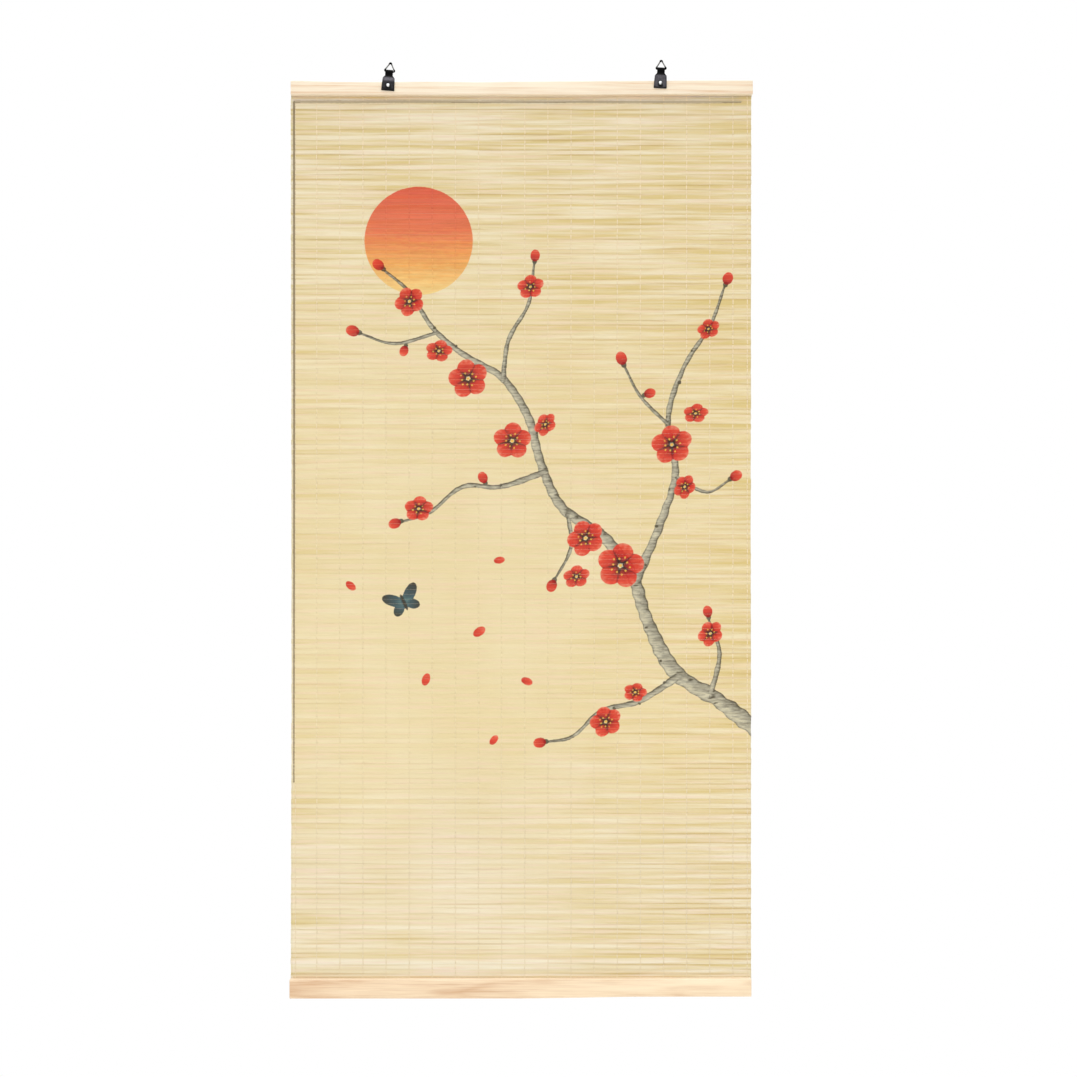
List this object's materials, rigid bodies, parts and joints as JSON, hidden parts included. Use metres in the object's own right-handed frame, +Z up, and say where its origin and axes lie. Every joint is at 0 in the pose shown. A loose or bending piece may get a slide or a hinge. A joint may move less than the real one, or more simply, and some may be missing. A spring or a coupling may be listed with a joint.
{
  "type": "bamboo blind",
  "caption": "Woven bamboo slat mat between pine battens, printed with a blossom branch, hung from small triangular ring hangers on its top batten.",
  "frame": {"origin": "middle of the top batten's top face, in the mid plane of the mat", "axes": "+X along the slats to the viewer's right, -Y out of the printed front, +Z up"},
  "size_m": [0.5035, 0.0168, 1.0163],
  "materials": {
    "bamboo": "split bamboo, matt, printed on the front",
    "pine": "planed, unvarnished",
    "painted_steel": "black paint, half gloss",
    "steel_wire": "drawn wire, dark at the bends",
    "nickel": "bright nickel",
    "cotton_thread": "twisted cotton warp threads"
  },
  "bodies": {
    "root": {"bamboo_mat": "bamboo", "top_batten": "pine", "bottom_batten": "pine", "hanger_strap_left": "painted_steel", "hanger_strap_right": "painted_steel", "hanger_ring_left": "steel_wire", "hanger_ring_right": "steel_wire", "hanger_screw_left": "nickel", "hanger_screw_right": "nickel"}
  },
  "joints": []
}
